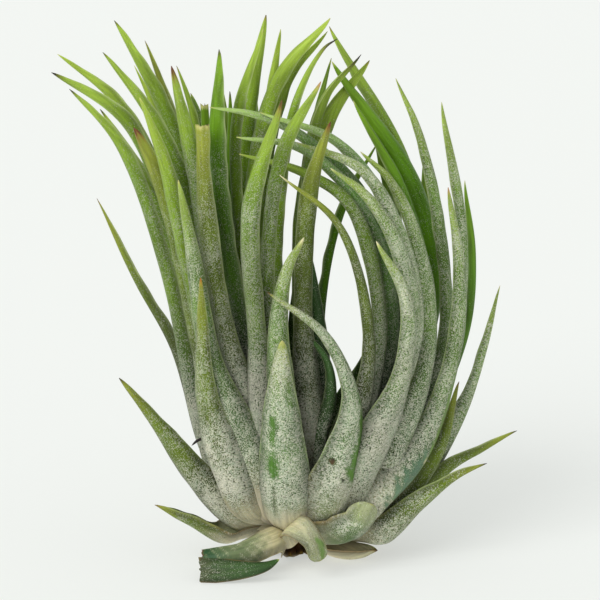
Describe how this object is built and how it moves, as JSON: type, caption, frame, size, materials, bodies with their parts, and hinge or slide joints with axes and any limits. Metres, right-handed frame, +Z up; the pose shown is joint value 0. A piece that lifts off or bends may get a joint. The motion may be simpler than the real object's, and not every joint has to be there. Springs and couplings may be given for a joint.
{
  "type": "air plant",
  "caption": "Small soil-free rosette plant: stiff, channelled, tapering leaves rise from overlapping silvery leaf bases, and it stands on its own foot and lowest leaves.",
  "frame": {"origin": "middle of the stem's flat foot, on the surface that the plant stands on", "axes": "+Z up along the plant, front towards -Y, +X to the right as seen from the front"},
  "size_m": [0.1007, 0.0624, 0.1187],
  "materials": {
    "outer_leaf": "tough green leaf under a dense coat of tiny silvery scales, greyest at its base and yellow-green at its tip",
    "inner_leaf": "tough satin green leaf with sparse silvery scales and a pale thin margin",
    "dry_tissue": "dry, dull olive-brown leaf and stem tissue"
  },
  "bodies": {
    "root": {"stem_and_heart": "inner_leaf", "back_leaves_left": "outer_leaf", "back_leaves_right": "outer_leaf", "left_leaf_1": "outer_leaf", "left_leaf_2": "outer_leaf", "left_leaf_3": "outer_leaf", "left_leaf_4": "inner_leaf", "left_leaf_5": "inner_leaf", "left_leaf_6": "inner_leaf", "left_leaf_7": "outer_leaf", "left_leaf_8": "inner_leaf", "left_leaf_9": "inner_leaf", "left_leaf_10": "inner_leaf", "left_leaf_11": "inner_leaf", "left_leaf_12": "inner_leaf", "left_leaf_13": "inner_leaf", "low_left_leaf_1": "outer_leaf", "low_left_leaf_2": "outer_leaf", "front_leaf_1": "outer_leaf", "front_leaf_2": "outer_leaf", "front_leaf_3": "outer_leaf", "front_leaf_4": "outer_leaf", "front_leaf_5": "outer_leaf", "middle_leaf_1": "outer_leaf", "middle_leaf_2": "inner_leaf", "middle_leaf_3": "inner_leaf", "middle_leaf_4": "inner_leaf", "middle_leaf_5": "outer_leaf", "middle_leaf_6": "outer_leaf", "middle_leaf_7": "inner_leaf", "middle_leaf_8": "inner_leaf", "middle_leaf_9": "inner_leaf", "middle_leaf_10": "outer_leaf", "middle_leaf_11": "inner_leaf", "middle_leaf_12": "inner_leaf", "middle_leaf_13": "inner_leaf", "arching_leaf_1": "inner_leaf", "arching_leaf_2": "inner_leaf", "arching_leaf_3": "inner_leaf", "arching_leaf_4": "outer_leaf", "arching_leaf_5": "inner_leaf", "arching_leaf_6": "outer_leaf", "arching_leaf_7": "outer_leaf", "arching_leaf_8": "outer_leaf", "right_leaf_1": "outer_leaf", "right_leaf_2": "inner_leaf", "right_leaf_3": "inner_leaf", "right_leaf_4": "inner_leaf", "right_leaf_5": "inner_leaf", "right_leaf_6": "outer_leaf", "right_leaf_7": "inner_leaf", "right_leaf_8": "inner_leaf", "right_leaf_9": "inner_leaf", "right_leaf_10": "outer_leaf", "low_right_leaf_1": "outer_leaf", "low_right_leaf_2": "outer_leaf", "cut_leaf": "outer_leaf", "curled_leaf": "outer_leaf", "lip_leaf": "outer_leaf", "dry_leaf": "dry_tissue"}
  },
  "joints": []
}
